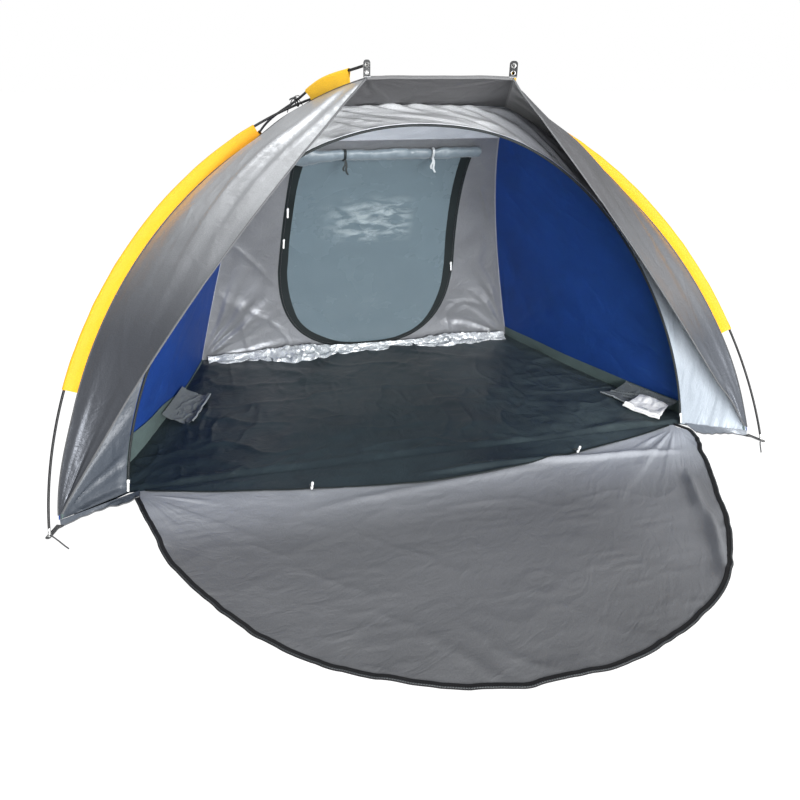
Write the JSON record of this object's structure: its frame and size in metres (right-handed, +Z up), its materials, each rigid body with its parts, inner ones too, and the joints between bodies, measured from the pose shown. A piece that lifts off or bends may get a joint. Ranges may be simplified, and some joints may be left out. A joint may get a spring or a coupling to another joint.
{
  "type": "beach tent",
  "caption": "Half-dome beach tent with a leaning front hoop, crossing side poles, a window with a rolled flap and a zip door that lies open on the ground.",
  "frame": {"origin": "middle of the footprint's bounding box on the ground, door included", "axes": "+X to the right of someone who looks in through the doorway, +Y from the doorway to the back wall, +Z up"},
  "size_m": [2.5074, 2.1776, 1.283],
  "materials": {
    "grey_cloth": "silver-grey coated polyester, creased, soft sheen",
    "blue_cloth": "navy blue woven polyester, matt",
    "yellow_cloth": "bright yellow polyester sleeve cloth, satin",
    "tarpaulin": "dark green-black coated ground-sheet cloth, slightly shiny, wrinkled",
    "silver_foil": "crinkled silver-coated film edge",
    "window_film": "cloudy blue-grey translucent film with a soft gloss",
    "flap_cloth": "thin grey-green translucent cloth",
    "zip_tape": "black woven zip tape with a coil",
    "webbing": "black ribbed webbing",
    "fibreglass": "black fibreglass rod, satin",
    "white_plastic": "white moulded plastic",
    "cord": "black braided cord",
    "pocket_mesh": "grey pocket cloth"
  },
  "bodies": {
    "tent": {"floor_sheet": "tarpaulin", "floor_rear_lip": "silver_foil", "back_wall": "grey_cloth", "window_zip_tape": "zip_tape", "window_film": "window_film", "window_flap_roll": "flap_cloth", "flap_tie_left": "flap_cloth", "flap_tie_right": "flap_cloth", "roof_panel": "grey_cloth", "awning_panel": "grey_cloth", "side_wall_left": "blue_cloth", "side_wall_right": "blue_cloth", "hood_wing_left": "grey_cloth", "hood_wing_right": "grey_cloth", "front_wall": "grey_cloth", "arch_zip_tape": "zip_tape", "pocket_left": "pocket_mesh", "pocket_right": "pocket_mesh", "long_sleeve_left": "yellow_cloth", "long_sleeve_right": "yellow_cloth", "rear_sleeve_left": "yellow_cloth", "rear_sleeve_right": "yellow_cloth", "short_sleeve_left": "yellow_cloth", "short_sleeve_right": "yellow_cloth", "roof_sleeve": "yellow_cloth", "hoop_pole_section_1": "fibreglass", "hoop_pole_section_2": "fibreglass", "hoop_pole_section_3": "fibreglass", "hoop_pole_section_4": "fibreglass", "hoop_pole_shock_cord": "cord", "side_pole_left_section_1": "fibreglass", "side_pole_left_section_2": "fibreglass", "side_pole_left_shock_cord": "cord", "side_pole_right_section_1": "fibreglass", "side_pole_right_section_2": "fibreglass", "side_pole_right_shock_cord": "cord", "foot_strap_front_left": "webbing", "foot_strap_front_right": "webbing", "foot_strap_rear_left": "webbing", "foot_strap_rear_right": "webbing", "brim_tab_left": "webbing", "brim_tab_right": "webbing", "crossing_tie_left": "cord", "crossing_tie_right": "cord"},
    "door": {"door_panel": "grey_cloth", "door_zip_tape": "zip_tape", "sill_apron": "tarpaulin", "door_toggle_left": "white_plastic", "door_toggle_right": "white_plastic"},
    "slider_door_left": {"door_left_slider": "white_plastic"},
    "pull_door_left": {"door_left_pull": "white_plastic"},
    "slider_door_right": {"door_right_slider": "white_plastic"},
    "pull_door_right": {"door_right_pull": "white_plastic"},
    "slider_window_upper": {"window_upper_slider": "white_plastic"},
    "pull_window_upper": {"window_upper_pull": "white_plastic"},
    "slider_window_middle": {"window_middle_slider": "white_plastic"},
    "pull_window_middle": {"window_middle_pull": "white_plastic"},
    "slider_window_lower": {"window_lower_slider": "white_plastic"},
    "pull_window_lower": {"window_lower_pull": "white_plastic"}
  },
  "joints": [
    {"name": "door_hinge", "type": "hinge", "parent": "tent", "child": "door", "pos_m": [0, -0.0393, 0.004], "axis": [-1, 0, 0], "range_deg": [0, 88]},
    {"name": "door_left_slide", "type": "slide", "parent": "tent", "child": "slider_door_left", "axis": [0.1276, 0.1643, 0.9781], "range_m": [0, 0.04]},
    {"name": "door_left_pull_swing", "type": "hinge", "parent": "slider_door_left", "child": "pull_door_left", "pos_m": [-1.02342, -0.0383, 0.04096], "axis": [-0.9918, 0.0211, 0.1259], "range_deg": [0, 90]},
    {"name": "door_right_slide", "type": "slide", "parent": "tent", "child": "slider_door_right", "axis": [-0.1276, 0.1643, 0.9781], "range_m": [0, 0.04]},
    {"name": "door_right_pull_swing", "type": "hinge", "parent": "slider_door_right", "child": "pull_door_right", "pos_m": [1.02342, -0.0383, 0.04096], "axis": [-0.9918, -0.0211, -0.1259], "range_deg": [0, 90]},
    {"name": "window_upper_slide", "type": "slide", "parent": "tent", "child": "slider_window_upper", "axis": [0.0855, -0.5374, 0.839], "range_m": [0, 0.1]},
    {"name": "window_upper_pull_swing", "type": "hinge", "parent": "slider_window_upper", "child": "pull_window_upper", "pos_m": [-0.35481, 0.85916, 0.71325], "axis": [-0.9962, -0.0445, 0.0753], "range_deg": [-30, 60]},
    {"name": "window_middle_slide", "type": "slide", "parent": "tent", "child": "slider_window_middle", "axis": [0.0928, -0.4036, 0.9102], "range_m": [0, 0.1]},
    {"name": "window_middle_pull_swing", "type": "hinge", "parent": "slider_window_middle", "child": "pull_window_middle", "pos_m": [-0.3696, 0.92732, 0.56881], "axis": [-0.9956, -0.0372, 0.0856], "range_deg": [-23, 60]},
    {"name": "window_lower_slide", "type": "slide", "parent": "tent", "child": "slider_window_lower", "axis": [-0.0895, -0.2846, 0.9545], "range_m": [0, 0.1]},
    {"name": "window_lower_pull_swing", "type": "hinge", "parent": "slider_window_lower", "child": "pull_window_lower", "pos_m": [0.42099, 0.97605, 0.41073], "axis": [-0.9991, 0.0095, -0.041], "range_deg": [-13, 60]}
  ]
}
